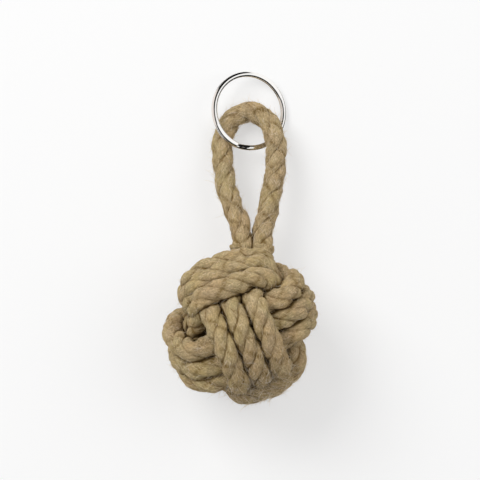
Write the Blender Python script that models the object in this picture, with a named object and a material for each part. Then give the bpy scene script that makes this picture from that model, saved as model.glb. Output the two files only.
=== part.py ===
"""Rope keychain: a round knot of three sets of turns, a rope eye and a split ring.

The object lies on its back on a table, as it was photographed from straight above.
+X is right, +Y goes from the knot towards the ring, +Z is up, and all lengths are metres.
The knot is drawn round its own centre in its own directions: X runs across the front
turns, Y runs along them and Z comes out of the front. It is then rolled and tipped.
"""
import math

import bmesh
import bpy
import numpy as np
from mathutils import Matrix, Vector

mm = 0.001

# Rope and knot
rope_diameter = 8.0 * mm
turn_diameter = 6.4 * mm
turn_pitch = 7.7 * mm
turns_per_set = 3
outer_lane = 26.0 * mm
inner_lane = 17.4 * mm
core_clearance = 0.3 * mm
least_turn_gap = 0.4 * mm

# Shape of a turn: degrees from the middle of a face at which the rope dives, and how
# far the lanes follow the round of the ball (1) or stay straight (0)
front_dive = 44.5
back_dive = 59.3
top_dive = 46.7
side_dive = 49.0
dive_width = 17.0
lane_bow_out = 0.1
lane_bow_in = 0.36
lane_bow_top = 0.5
top_push = 8.0 * mm
top_push_power = 3

# Where each set moves over to its next lane, and where its hidden ends are, in degrees
lane_change = 80.0
front_change_at = 172.0
front_starts_at = -80.0
front_ends_at = 222.0
top_change_at = 38.0
top_starts_at = 118.0
top_ends_at = 52.0
side_change_at = 38.0
side_starts_at = 118.0
side_ends_at = 8.0

# Lie of the knot on the table
knot_roll = 22.0
knot_tip = 20.0
knot_place = Vector((0.15 * mm, -32.2 * mm))
foot_flat = 0.65 * mm

# Rope eye: its legs leave the knot side by side and slope down to the table
neck_ahead = 33.0 * mm
neck_below = 10.0 * mm
left_leg_at = 0.2 * mm
right_leg_at = 8.4 * mm
eye_slope = 17.0
neck_clearance = 0.3 * mm

# Middle of the eye's rope, seen from above: right of the knot's centre, ahead of it,
# and above (or below) the sloping line of the legs
eye_route_mm = (
    (0.2, 33.0, 0.0),
    (-0.5, 36.5, 0.0),
    (-2.4, 41.8, 0.0),
    (-4.0, 46.8, -0.2),
    (-5.2, 51.8, -0.5),
    (-6.3, 57.4, -0.8),
    (-6.8, 64.2, -1.0),
    (-6.3, 69.8, -0.9),
    (-4.5, 74.6, -0.6),
    (-0.9, 78.4, -0.2),
    (3.4, 80.0, 0.3),
    (7.6, 78.6, 1.3),
    (10.9, 75.0, 2.4),
    (12.8, 70.5, 3.4),
    (13.4, 64.2, 3.0),
    (12.6, 55.2, 1.8),
    (11.1, 46.0, 0.7),
    (9.7, 40.0, 0.0),
    (8.9, 36.5, 0.0),
    (8.4, 33.0, 0.0),
)

# Split ring: one flat wire wound round twice, with a step between the two turns
ring_diameter = 30.0 * mm
ring_wire_width = 2.0 * mm
ring_wire_thickness = 0.8 * mm
ring_wire_gap = 0.42 * mm
ring_corner = 0.2 * mm
ring_step_length = 22.0
ring_split_at = 247.0
ring_tilt = 22.7
ring_lean = -73.4
ring_place = Vector((3.4 * mm, 47.4 * mm))
table_clearance = 0.1 * mm

# How finely the pieces are drawn
points_per_turn = 24
eye_points = 44
ring_steps_per_turn = 60
core_segments = 32
fine_samples = 1200


# Materials

def plain_material(name, colour, roughness, metallic):
    material = bpy.data.materials.new(name)
    material.use_nodes = True
    shader = material.node_tree.nodes["Principled BSDF"]
    shader.inputs["Base Color"].default_value = (*colour, 1.0)
    shader.inputs["Roughness"].default_value = roughness
    shader.inputs["Metallic"].default_value = metallic
    return material


def rope_material():
    return plain_material("jute_rope", (0.46, 0.35, 0.20), 0.9, 0.0)


def core_material():
    return plain_material("core_wood", (0.42, 0.30, 0.18), 0.7, 0.0)


def ring_material():
    return plain_material("nickel_steel", (0.72, 0.71, 0.68), 0.2, 1.0)


# Routes

def ease(t):
    """Go smoothly from 0 to 1 while t goes from 0 to 1."""
    t = np.clip(t, 0.0, 1.0)
    return t * t * (3.0 - 2.0 * t)


def lanes_moved(degrees, first_change):
    """Count the lanes that the rope has moved over by each angle of its winding."""
    changes = [first_change + 360.0 * turn for turn in range(turns_per_set)]
    return sum(ease((degrees - start) / lane_change) for start in changes)


def lane_radius(degrees, offset, dives, bow):
    """Distance from the set's axis: the outer lane near 0 and 180, the inner near 90 and 270.

    dives holds one dive angle for each quarter turn. offset is how far the lane lies from
    the middle of its set, and bow brings outlying lanes in with the round of the ball.
    """
    turned = degrees % 360.0
    quarter = (turned // 90.0).astype(int)
    start = 90.0 * quarter
    from_face = np.where(quarter % 2 == 0, turned - start, start + 90.0 - turned)
    dive = np.array(dives)[quarter]
    outside = 1.0 - ease((from_face - dive + dive_width) / (2.0 * dive_width))
    outer = outer_lane - bow * (outer_lane - np.sqrt(outer_lane ** 2 - offset ** 2))
    inner = inner_lane - lane_bow_in * (inner_lane - np.sqrt(inner_lane ** 2 - offset ** 2))
    return outside * outer + (1.0 - outside) * inner


def winding_angles(start, end):
    """Angles of a winding from its start in the first turn to its end in the last."""
    return np.linspace(start, 360.0 * (turns_per_set - 1) + end, fine_samples)


def front_turns_route():
    """Front, bottom, back, top: the lanes lie side by side along X."""
    degrees = winding_angles(front_starts_at, front_ends_at)
    x = turn_pitch * (1.0 - lanes_moved(degrees, front_change_at))
    dives = (front_dive, back_dive, back_dive, front_dive)
    radius = lane_radius(degrees, x, dives, lane_bow_out)
    angle = np.radians(degrees)
    return np.stack([x, -radius * np.sin(angle), radius * np.cos(angle)], axis=1)


def top_turns_route():
    """Top, left, bottom, right: the lanes lie along Z and the outer ones are pushed forward."""
    degrees = winding_angles(top_starts_at, 360.0 + top_ends_at)
    angle = np.radians(degrees)
    push = top_push * np.abs(np.cos(angle)) ** top_push_power
    z = turn_pitch * (lanes_moved(degrees, 360.0 + top_change_at) - 1.0) + push
    radius = lane_radius(degrees, z, (top_dive,) * 4, lane_bow_top)
    return np.stack([-radius * np.sin(angle), radius * np.cos(angle), z], axis=1)


def side_turns_route():
    """Right, back, left, front: the lanes lie along Y."""
    degrees = winding_angles(side_starts_at, 360.0 + side_ends_at)
    y = turn_pitch * (lanes_moved(degrees, 360.0 + side_change_at) - 1.0)
    radius = lane_radius(degrees, y, (side_dive,) * 4, lane_bow_out)
    angle = np.radians(degrees)
    return np.stack([radius * np.cos(angle), y, -radius * np.sin(angle)], axis=1)


def smooth_route(points):
    """Draw the natural cubic curve through points, spaced by the root of their distance."""
    points = np.asarray(points, dtype=float)
    steps = np.sqrt(np.linalg.norm(np.diff(points, axis=0), axis=1))
    knots = np.concatenate([[0.0], np.cumsum(steps)])
    count = len(points)
    matrix = np.eye(count)
    right_side = np.zeros_like(points)
    for i in range(1, count - 1):
        before, after = steps[i - 1], steps[i]
        matrix[i, i - 1:i + 2] = (before, 2.0 * (before + after), after)
        bend = (points[i + 1] - points[i]) / after - (points[i] - points[i - 1]) / before
        right_side[i] = 6.0 * bend
    bends = np.linalg.solve(matrix, right_side)
    places = np.linspace(0.0, knots[-1], fine_samples)
    span = np.clip(np.searchsorted(knots, places, side="right") - 1, 0, count - 2)
    width = steps[span][:, None]
    to_end = (knots[span + 1] - places)[:, None]
    from_start = (places - knots[span])[:, None]
    start_part = bends[span] * to_end ** 3 / (6.0 * width)
    start_part += (points[span] / width - bends[span] * width / 6.0) * to_end
    end_part = bends[span + 1] * from_start ** 3 / (6.0 * width)
    end_part += (points[span + 1] / width - bends[span + 1] * width / 6.0) * from_start
    return start_part + end_part


def spread_evenly(route, count):
    """Choose count points at equal distances along a finely drawn route."""
    lengths = np.linalg.norm(np.diff(route, axis=0), axis=1)
    along = np.concatenate([[0.0], np.cumsum(lengths)])
    places = np.linspace(0.0, along[-1], count)
    return np.stack([np.interp(places, along, route[:, i]) for i in range(3)], axis=1)


def route_length(route):
    return float(np.linalg.norm(np.diff(route, axis=0), axis=1).sum())


def winding_points(route):
    """Give a winding its set number of points for each turn."""
    turn_length = route_length(front_turns_route()) / turns_per_set
    return spread_evenly(route, round(points_per_turn * route_length(route) / turn_length))


# The knot's own directions, and the legs of the eye in them

def knot_directions():
    """Columns are the knot's X, Y and Z as seen on the table."""
    roll = Matrix.Rotation(math.radians(knot_roll), 3, "Z")
    tip = Matrix.Rotation(math.radians(knot_tip), 3, "X")
    return np.array(roll @ tip)


def along_leg(across, ahead, lift=0.0):
    """Place on a leg of the eye, from the knot's centre, in the table's directions."""
    drop = (ahead - neck_ahead) * math.tan(math.radians(eye_slope))
    return np.array((across, ahead, lift - neck_below - drop))


def leg_direction():
    slope = math.radians(eye_slope)
    return np.array((0.0, math.cos(slope), -math.sin(slope)))


def leg_stub(across):
    """Three places on the straight end of the rope where a leg leaves the knot."""
    neck = along_leg(across, neck_ahead)
    short = rope_diameter / 2.0 + neck_clearance
    middle = short + turn_diameter / 2.0
    long = short + turn_diameter
    return [(neck - back * leg_direction()) @ knot_directions() for back in (long, middle, short)]


def front_rope():
    """Left leg of the eye, its way in under the top turns, then the front turns."""
    turns = front_turns_route()
    way_in = [*reversed(leg_stub(left_leg_at)), np.array((8.3, 16.9, -7.0)) * mm]
    lead = smooth_route([*way_in, turns[0], turns[20]])
    return np.vstack([lead[:-1], turns[20:]])


def side_rope():
    """Side turns, then the way out behind the top turns to the right leg of the eye."""
    turns = side_turns_route()
    way_out = [np.array((23.6, 9.0, -10.0)) * mm, np.array((20.3, 13.0, -14.6)) * mm]
    lead = smooth_route([turns[-20], turns[-1], *way_out, *leg_stub(right_leg_at)])
    return np.vstack([turns[:-20], lead])


def eye_rope():
    """The eye's rope from neck to neck, in the table's directions."""
    return smooth_route([along_leg(x * mm, y * mm, z * mm) for x, y, z in eye_route_mm])


# Least gaps, measured on closely spaced points of the drawn routes

def least_gap(first, second, diameter, skip=0.0):
    """Gap between two tubes, or within one, leaving out stretches nearer than skip along it."""
    spacing = 0.5 * mm
    a = spread_evenly(first, round(route_length(first) / spacing))
    b = spread_evenly(second, round(route_length(second) / spacing))
    least = 1.0
    for i, point in enumerate(a):
        distance = np.linalg.norm(b - point, axis=1)
        if skip:
            near = int(round(skip / spacing))
            distance[max(0, i - near):i + near] = 1.0
        least = min(least, distance.min())
    return least - diameter


def print_gaps(windings):
    for name, points in windings.items():
        gap = least_gap(points, points, turn_diameter, 2.0 * turn_diameter)
        print(f"{name}: least gap to itself {gap / mm:.2f} mm, wanted {least_turn_gap / mm:.1f}")
        if gap < least_turn_gap:
            raise ValueError(f"the turns of {name} come too close to each other")
    names = list(windings)
    for i, name in enumerate(names):
        for other in names[i + 1:]:
            gap = least_gap(windings[name], windings[other], turn_diameter)
            print(f"{name} to {other}: least gap {gap / mm:.2f} mm")


# Making objects

def clear_scene():
    for thing in list(bpy.data.objects):
        bpy.data.objects.remove(thing, do_unlink=True)


def add_object(name, data, material):
    thing = bpy.data.objects.new(name, data)
    bpy.context.scene.collection.objects.link(thing)
    data.materials.append(material)
    return thing


def rope_curve(name, points, diameter, resolution, radii=None):
    """A round tube with filled ends along straight pieces between points."""
    curve = bpy.data.curves.new(name, "CURVE")
    curve.dimensions = "3D"
    curve.bevel_depth = diameter / 2.0
    curve.bevel_resolution = resolution
    curve.use_fill_caps = True
    spline = curve.splines.new("POLY")
    spline.points.add(len(points) - 1)
    for i, point in enumerate(points):
        spline.points[i].co = (*point, 1.0)
        spline.points[i].radius = 1.0 if radii is None else radii[i]
    spline.use_smooth = True
    return curve


def mesh_from_curve(name, curve):
    """Turn a tube into a mesh so that it can be cut."""
    holder = bpy.data.objects.new(name + "_route", curve)
    bpy.context.scene.collection.objects.link(holder)
    bpy.context.view_layer.update()
    mesh = bpy.data.meshes.new_from_object(holder)
    mesh.name = name
    bpy.data.objects.remove(holder, do_unlink=True)
    for face in mesh.polygons:
        face.use_smooth = True
    return mesh


def mesh_from_faces(name, build):
    """Make a mesh with build(bm), with its faces turned outwards and shaded round."""
    bm = bmesh.new()
    build(bm)
    bmesh.ops.recalc_face_normals(bm, faces=bm.faces)
    for face in bm.faces:
        face.smooth = True
    mesh = bpy.data.meshes.new(name)
    bm.to_mesh(mesh)
    bm.free()
    return mesh


# The knot

def table_points(points):
    """Turn points from the knot's directions to the table's, about the knot's centre."""
    return points @ knot_directions().T


def add_winding(name, points, material):
    curve = rope_curve(name, table_points(points), turn_diameter, 1)
    return add_object(name, mesh_from_curve(name, curve), material)


def add_core(material):
    radius = inner_lane - turn_diameter / 2.0 - core_clearance

    def build(bm):
        rings = core_segments // 2
        bmesh.ops.create_uvsphere(bm, u_segments=core_segments, v_segments=rings, radius=radius)

    return add_object("core_ball", mesh_from_faces("core_ball", build), material)


def cut_foot(winding, floor):
    """Cut the winding flat where it lies on the table."""
    size = 2.0 * outer_lane

    def build(bm):
        bmesh.ops.create_cube(bm, size=size)

    cutter = bpy.data.objects.new("foot_cutter", mesh_from_faces("foot_cutter", build))
    bpy.context.scene.collection.objects.link(cutter)
    cutter.location = (0.0, 0.0, floor - size / 2.0)
    cutter.parent = winding
    cutter.hide_render = True
    cutter.display_type = "WIRE"
    cut = winding.modifiers.new("foot_flat", "BOOLEAN")
    cut.object = cutter
    cut.operation = "DIFFERENCE"
    cut.solver = "EXACT"


def lowest_height(thing):
    return min(vertex.co.z for vertex in thing.data.vertices)


def add_knot(rope, core):
    """The core and the three windings, all with their origin in the knot's centre."""
    windings = {
        "front_turns": winding_points(front_rope()),
        "side_turns": winding_points(side_rope()),
        "top_turns": winding_points(top_turns_route()),
    }
    print_gaps(windings)
    pieces = [add_winding(name, points, rope) for name, points in windings.items()]
    floor = lowest_height(pieces[0]) + foot_flat
    cut_foot(pieces[0], floor)
    pieces.append(add_core(core))
    for piece in pieces:
        piece.location = (*knot_place, -floor)
    return -floor


# The rope eye

def add_eye(knot_height, material):
    """The eye turns about the line through its two round ends."""
    route = spread_evenly(eye_rope(), eye_points)
    neck = along_leg((left_leg_at + right_leg_at) / 2.0, neck_ahead)
    points = round_end_points(route[0], leg_direction()) + list(route[1:-1])
    points += reversed(round_end_points(route[-1], leg_direction()))
    radii = round_end_radii() + [1.0] * (len(route) - 2) + round_end_radii()[::-1]
    curve = rope_curve("rope_eye", [point - neck for point in points], rope_diameter, 4, radii)
    eye = add_object("rope_eye", curve, material)
    place = Vector((*knot_place, knot_height))
    eye.location = place + Vector(neck)
    return eye


def round_end_angles():
    return [math.radians(degrees) for degrees in (10.0, 30.0, 50.0, 70.0, 90.0)]


def round_end_points(centre, direction):
    reach = rope_diameter / 2.0
    return [centre - reach * math.cos(angle) * direction for angle in round_end_angles()]


def round_end_radii():
    return [math.sin(angle) for angle in round_end_angles()]


# The split ring

def ring_section():
    """Corners of the flat wire's section: outwards from the ring's axis, and along it."""
    half_width = ring_wire_width / 2.0
    half_height = ring_wire_thickness / 2.0
    corners = []
    for side, level in ((1, -1), (1, 1), (-1, 1), (-1, -1)):
        near_side = (side * half_width, level * (half_height - ring_corner))
        near_level = (side * (half_width - ring_corner), level * half_height)
        pair = (near_side, near_level) if side == level else (near_level, near_side)
        corners.extend(pair)
    return corners


def build_ring(bm):
    """Sweep the section round twice, stepping from the lower turn to the upper one."""
    middle = (ring_diameter - ring_wire_width) / 2.0
    rise = ring_wire_thickness + ring_wire_gap
    whole = 720.0 - ring_step_length
    steps = round(ring_steps_per_turn * whole / 360.0)
    rings = []
    for i in range(steps + 1):
        turned = whole * i / steps
        level = rise * (float(ease((turned - 360.0 + ring_step_length) / ring_step_length)) - 0.5)
        angle = math.radians(ring_split_at + turned)
        row = []
        for out, up in ring_section():
            radius = middle + out
            place = (radius * math.cos(angle), radius * math.sin(angle), level + up)
            row.append(bm.verts.new(place))
        rings.append(row)
    count = len(rings[0])
    for first, second in zip(rings, rings[1:]):
        for i in range(count):
            after = (i + 1) % count
            bm.faces.new((first[i], first[after], second[after], second[i]))
    bm.faces.new(rings[0])
    bm.faces.new(rings[-1])


def ring_turn():
    """Tilt about the ring's leaning diameter, which is the line that it swings about."""
    lean = math.radians(ring_lean)
    axis = Vector((math.cos(lean), math.sin(lean), 0.0))
    return Matrix.Rotation(-math.radians(ring_tilt), 4, axis)


def add_ring(material):
    ring = add_object("split_ring", mesh_from_faces("split_ring", build_ring), material)
    turn = ring_turn()
    ring.rotation_euler = turn.to_euler()
    lowest = min((turn @ vertex.co).z for vertex in ring.data.vertices)
    ring.location = (*ring_place, table_clearance - lowest)
    return ring


def main():
    clear_scene()
    rope = rope_material()
    knot_height = add_knot(rope, core_material())
    add_eye(knot_height, rope)
    ring = add_ring(ring_material())
    bpy.context.view_layer.update()
    print(f"knot centre is {knot_height / mm:.2f} mm above the table")
    print(f"ring centre is {ring.location.z / mm:.2f} mm above the table")
    print(f"rope in the eye is {route_length(eye_rope()) / mm:.1f} mm long")


if __name__ == "__main__":
    main()
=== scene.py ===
"""Looks of the rope keychain: laid jute rope, its loose fibres and a nickel split ring.

The keychain lies on a pale table and is seen from straight above. Lengths are metres.
The knot is worked out round its own centre in its own directions, then rolled and tipped.
"""
import math
from collections import namedtuple

import bpy
import numpy as np
from bpy.props import FloatProperty, FloatVectorProperty, IntProperty, PointerProperty
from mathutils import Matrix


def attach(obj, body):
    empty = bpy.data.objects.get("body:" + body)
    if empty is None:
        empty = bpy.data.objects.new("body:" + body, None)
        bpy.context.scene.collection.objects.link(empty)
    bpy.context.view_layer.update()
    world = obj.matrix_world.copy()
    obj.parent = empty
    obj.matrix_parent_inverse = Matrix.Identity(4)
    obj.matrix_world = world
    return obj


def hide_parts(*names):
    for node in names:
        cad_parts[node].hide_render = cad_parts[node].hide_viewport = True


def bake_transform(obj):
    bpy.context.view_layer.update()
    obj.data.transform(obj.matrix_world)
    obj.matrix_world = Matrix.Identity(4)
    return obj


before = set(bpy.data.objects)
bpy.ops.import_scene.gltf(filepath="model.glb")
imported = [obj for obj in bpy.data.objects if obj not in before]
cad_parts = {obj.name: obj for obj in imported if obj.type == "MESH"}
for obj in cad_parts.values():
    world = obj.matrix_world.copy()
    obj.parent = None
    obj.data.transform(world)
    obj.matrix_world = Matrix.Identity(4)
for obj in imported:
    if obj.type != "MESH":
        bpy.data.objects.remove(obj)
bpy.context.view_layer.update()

bl_info = {
    "name": "Rope keychain",
    "version": (1, 0, 0),
    "blender": (4, 5, 0),
    "location": "3D View > Sidebar > Rope keychain",
    "description": "Builds a ball knot of laid rope with an eye and a split ring",
    "category": "Add Mesh",
}

mm = 0.001

# Lie of the knot
knot_centre = np.array((0.15, -32.2, 28.35)) * mm
knot_roll = math.radians(22.0)
knot_tip = math.radians(20.0)

# Windings, in degrees round the knot: where each starts and where it ends in its last turn,
# and where it starts to move over to the next lane
turns_per_set = 3
front_span = (-80.0, 222.0)
top_span = (118.0, 440.0)
side_span = (118.0, 368.0)
front_change = 172.0
top_change = 398.0
side_change = 398.0
change_width = 80.0

# Degrees from the middle of each face at which the rope dives under the next set
front_dives = (44.5, 53.0, 41.0, 44.5)
top_dives = (38.0, 34.0, 47.0, 52.0)
side_dives = (49.0, 45.0, 49.0, 49.0)
dive_width = 17.0

# How much the lanes are drawn in, as shares of the sagitta at their distance from the middle
front_bow = 0.10
top_bow = 0.70
top_bow_swing = 0.10
side_bow = 0.70
inner_bow = 0.36
inner_bow_reach = 15.0 * mm

# Where the front one of the top turns goes in deeper, on the left
left_dip = 0.55
left_dip_at = 74.0
left_dip_width = 26.0

# Where the side turns sag in front, and how they crowd there and on each side
sag_at = 228.0
sag_width = 38.0
side_width = 40.0
sag_crowding = 1.0 / 8.0
right_crowding = 1.0 / 6.0
left_crowding = 1.0 / 5.0

# Legs of the eye at the knot, from the knot's centre in the table's directions
neck_ahead = 33.0 * mm
neck_below = 10.0 * mm
left_leg_at = 0.2 * mm
right_leg_at = 8.4 * mm

# They slope down from the neck to lying_height over the table at arch_reach further on, and
# bend at the neck over neck_bend_reach either way
arch_reach = 47.0 * mm
lying_height = 4.0 * mm
eye_slope = math.atan((knot_centre[2] - neck_below - lying_height) / arch_reach)

# Distances back from the neck, along the legs: where the knot's rope meets them, and how
# far the eye's own rope goes on inside the knot
leg_root_backs = np.array((4.3, 7.5, 10.7)) * mm
eye_root_backs = np.array((10.0, 5.0)) * mm

# Hidden ways of the rope, in the knot's own directions
left_leg_way = np.array((8.3, 16.9, -7.0)) * mm
right_leg_way = np.array(((20.0, 8.0, -12.0), (16.0, 12.0, -13.5))) * mm
end_tuck = np.array(((-14.0, 14.3, -13.4), (-12.0, 9.3, -8.6))) * mm

# Middle of the eye's rope: right of the knot's centre, ahead of it, and above or below
# the sloping line of the legs
eye_route = np.array((
    (0.6, 33.0, 0.0),
    (-0.2, 36.5, 0.0),
    (-2.2, 41.8, 0.0),
    (-4.0, 46.8, -0.2),
    (-5.2, 51.8, -0.5),
    (-6.3, 57.4, -0.8),
    (-6.8, 64.2, -1.0),
    (-6.3, 69.8, -0.9),
    (-4.5, 74.6, -0.6),
    (-1.0, 78.0, -0.2),
    (2.9, 79.6, 0.3),
    (7.4, 78.0, 1.3),
    (10.9, 75.0, 2.4),
    (12.8, 70.5, 3.4),
    (13.4, 64.2, 3.0),
    (12.6, 55.2, 1.8),
    (11.1, 46.0, 0.7),
    (9.8, 40.0, 0.0),
    (8.8, 36.5, 0.0),
    (8.2, 33.0, 0.0),
)) * mm

# The front strands are worn fuzzy and grey round their lower ends, where the rope under the fuzz also
# gets painted shade as it curves away below
fuzzy_place = np.array((7.0, -54.0, 42.0)) * mm
fuzzy_reach = 10.0 * mm
worn_place_shade = 0.29

# Distance from the knot's centre within which the rope gets painted shade, darker deep inside, and over
# which it fades
deep_inside = 22.5 * mm
deep_fade = 5.0 * mm

# Gap to the next turn under which a surface counts as touched and gets painted shade
contact_shade_reach = 0.9 * mm

# Lie of the split ring
ring_centre = np.array((3.4, 47.4, 6.74)) * mm
ring_tilt = math.radians(22.7)
ring_lean = math.radians(-73.4)

# What polished metal sees of the room: angles round it in degrees, and how far the walls
# lean as they rise from level to straight up
dark_wall = (0.012, 0.012, 0.012)
cream_wall = (0.84, 0.78, 0.74)
white_wall = (1.0, 1.0, 1.0)
grey_ceiling = (0.58, 0.53, 0.51)
room_walls = ((0, dark_wall), (31, dark_wall), (39, white_wall), (71, white_wall), (76, dark_wall),
              (141, dark_wall), (147, cream_wall), (261, cream_wall), (265, dark_wall), (360, dark_wall))
wall_lean = 62.0


# Sizes and colours that a user may change

class RopeSettings(bpy.types.PropertyGroup):
    diameter: FloatProperty(
        name="Diameter", description="Thickness of the rope over its three strands",
        default=8.0 * mm, min=0.0, unit="LENGTH")
    knot_diameter: FloatProperty(
        name="Diameter in the knot", description="Thickness of the rope over its crowns in the knot",
        default=8.4 * mm, min=0.0, unit="LENGTH")
    knot_lay: FloatProperty(
        name="Lay in the knot", description="Length of rope in which a strand goes once round",
        default=22.0 * mm, min=0.0, unit="LENGTH")
    eye_lay: FloatProperty(
        name="Lay in the eye", description="The same length where the rope lies free",
        default=27.0 * mm, min=0.0, unit="LENGTH")
    knot_spread: FloatProperty(
        name="Spread in the knot", description="How far apart the strands stand, in radii",
        default=0.36, min=0.0, max=0.53, subtype="FACTOR")
    eye_spread: FloatProperty(
        name="Spread in the eye", description="The same share where the rope lies free",
        default=0.29, min=0.0, max=0.53, subtype="FACTOR")
    groove_depth: FloatProperty(
        name="Groove depth", description="Extra depth of the crease between two strands",
        default=0.30 * mm, min=0.0, unit="LENGTH")
    fold_depth: FloatProperty(
        name="Fold depth", description="Depth of the folds that cross the strands the other way",
        default=0.20 * mm, min=0.0, unit="LENGTH")
    eye_relief: FloatProperty(
        name="Relief in the eye", description="How much deeper creases and folds are in the eye",
        default=1.25, min=0.0)
    lump_height: FloatProperty(
        name="Lump height", description="Height of the soft unevenness of the rope",
        default=0.16 * mm, min=0.0, unit="LENGTH")
    wander: FloatProperty(
        name="Wander", description="How far the rope strays to and fro from its even course",
        default=0.30 * mm, min=0.0, unit="LENGTH")
    yarn_height: FloatProperty(
        name="Yarn height", description="Height of the yarns on a strand",
        default=0.10 * mm, min=0.0, unit="LENGTH")
    light_colour: FloatVectorProperty(
        name="Light fibres", description="Colour of the palest jute fibres",
        default=(0.80, 0.645, 0.410), min=0.0, max=1.0, subtype="COLOR")
    # Brown of the jute's own brown stretches and darkest loose fibres, and the colour of painted shade
    # in creases, between yarns and where turns touch
    brown_and_crease_shade_colour: FloatVectorProperty(
        name="Brown and crease shade", description="Colour of the jute in shallow creases",
        default=(0.215, 0.135, 0.044), min=0.0, max=1.0, subtype="COLOR")
    main_colour: FloatVectorProperty(
        name="Main fibres", description="Colour of most of the jute",
        default=(0.640, 0.487, 0.266), min=0.0, max=1.0, subtype="COLOR")
    # Colour of the deepest painted shade, where turns touch, deep inside the knot and at the worn place
    deep_shade_colour: FloatVectorProperty(
        name="Deep shade", description="Colour of the jute deep in the grooves",
        default=(0.078, 0.045, 0.012), min=0.0, max=1.0, subtype="COLOR")


class KnotSettings(bpy.types.PropertyGroup):
    pitch: FloatProperty(
        name="Pitch", description="Distance between neighbouring strands of a set",
        default=8.0 * mm, min=0.0, unit="LENGTH")
    outer_lane: FloatProperty(
        name="Outer lane", description="Distance from the centre to the middle of an outer strand",
        default=25.1 * mm, min=0.0, unit="LENGTH")
    inner_lane: FloatProperty(
        name="Inner lane", description="Distance from the centre to the middle of an inner strand",
        default=17.2 * mm, min=0.0, unit="LENGTH")
    top_push: FloatProperty(
        name="Top push", description="How far the top turns are pushed towards the front",
        default=8.0 * mm, unit="LENGTH")
    side_lean: FloatProperty(
        name="Side lean", description="How much the side turns rise towards the right",
        default=math.radians(3.0), subtype="ANGLE", unit="ROTATION")
    side_forward_lean: FloatProperty(
        name="Side forward lean", description="How much the side turns rise towards the front",
        default=math.radians(6.0), subtype="ANGLE", unit="ROTATION")
    side_sag: FloatProperty(
        name="Side sag", description="How far the side turns sag in front on the left",
        default=5.0 * mm, unit="LENGTH")


class CoreSettings(bpy.types.PropertyGroup):
    diameter: FloatProperty(
        name="Diameter", description="Thickness of the ball inside the knot",
        default=28.0 * mm, min=0.0, unit="LENGTH")


class FibreSettings(bpy.types.PropertyGroup):
    lying_count: IntProperty(
        name="Lying fibres", description="Number of fibres that lie on each rope of the knot",
        default=6500, min=0)
    loose_count: IntProperty(
        name="Loose fibres", description="Number of fibres that stand off each rope of the knot",
        default=2800, min=0)
    length: FloatProperty(
        name="Length", description="Usual length of a fibre",
        default=2.8 * mm, min=0.0, unit="LENGTH")
    lift: FloatProperty(
        name="Lift", description="How far the middle of a lying fibre stands off",
        default=0.10 * mm, min=0.0, unit="LENGTH")
    thickness: FloatProperty(
        name="Thickness", description="Usual thickness of a fibre",
        default=0.10 * mm, min=0.0, unit="LENGTH")


class RingSettings(bpy.types.PropertyGroup):
    diameter: FloatProperty(
        name="Diameter", description="Outer diameter of the split ring",
        default=30.0 * mm, min=0.0, unit="LENGTH")
    wire_width: FloatProperty(
        name="Wire width", description="Width of the flat wire, across the ring",
        default=2.0 * mm, min=0.0, unit="LENGTH")
    wire_thickness: FloatProperty(
        name="Wire thickness", description="Thickness of one turn of the wire",
        default=0.95 * mm, min=0.0, unit="LENGTH")
    turn_gap: FloatProperty(
        name="Turn gap", description="Gap between the two turns",
        default=0.04 * mm, min=0.0, unit="LENGTH")
    step_angle: FloatProperty(
        name="Step", description="Angle in which the wire steps from one turn to the other",
        default=math.radians(20.0), subtype="ANGLE", unit="ROTATION")
    split_angle: FloatProperty(
        name="Split", description="Where the wire starts, round the ring",
        default=math.radians(269.0), subtype="ANGLE", unit="ROTATION")
    colour: FloatVectorProperty(
        name="Metal", description="Colour of the polished nickel",
        default=(0.95, 0.935, 0.91), min=0.0, max=1.0, subtype="COLOR")


class StageSettings(bpy.types.PropertyGroup):
    floor_size: FloatProperty(
        name="Floor", description="Width of the pale floor",
        default=6.0, min=0.0, unit="LENGTH")
    camera_height: FloatProperty(
        name="Camera height", description="Height of the camera over the table",
        default=1.2, min=0.0, unit="LENGTH")
    picture_width: FloatProperty(
        name="Picture width", description="Width that the picture takes in at half the knot's height",
        default=179.0 * mm, min=0.0, unit="LENGTH")
    light_level: FloatProperty(
        name="Light", description="Strength of the soft lamps, where 1 shows colours as written",
        default=1.0, min=0.0)


class KeychainSettings(bpy.types.PropertyGroup):
    rope: PointerProperty(type=RopeSettings)
    knot: PointerProperty(type=KnotSettings)
    core: PointerProperty(type=CoreSettings)
    fibres: PointerProperty(type=FibreSettings)
    ring: PointerProperty(type=RingSettings)
    stage: PointerProperty(type=StageSettings)


# Routes of the rope

def ease(t):
    """Smooth step: 3 t squared less 2 t cubed, held at 0 below 0 and at 1 above 1."""
    t = np.clip(t, 0.0, 1.0)
    return t * t * (3.0 - 2.0 * t)


def bell(distance, width):
    """exp(-(distance / width)^2): 1 at no distance, and near 0 from twice the width on."""
    return np.exp(-(distance / width) ** 2)


def turned(span, samples=1600):
    """Angles of a winding, in degrees, from its start to its end after three turns."""
    start, end = span
    return np.linspace(start, 360.0 * (turns_per_set - 1) + end, samples)


def lanes_moved(degrees, first_change):
    """Number of lanes moved over: one smooth step a turn, change_width degrees long."""
    starts = first_change + 360.0 * np.arange(turns_per_set)
    return ease((degrees[:, None] - starts) / change_width).sum(axis=1)


def drawn_in(lane, offset, bow):
    """Lane less its bow times the sagitta, r - sqrt(r^2 - offset^2), of a ball of its size."""
    return lane - bow * (lane - np.sqrt(lane ** 2 - offset ** 2))


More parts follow.
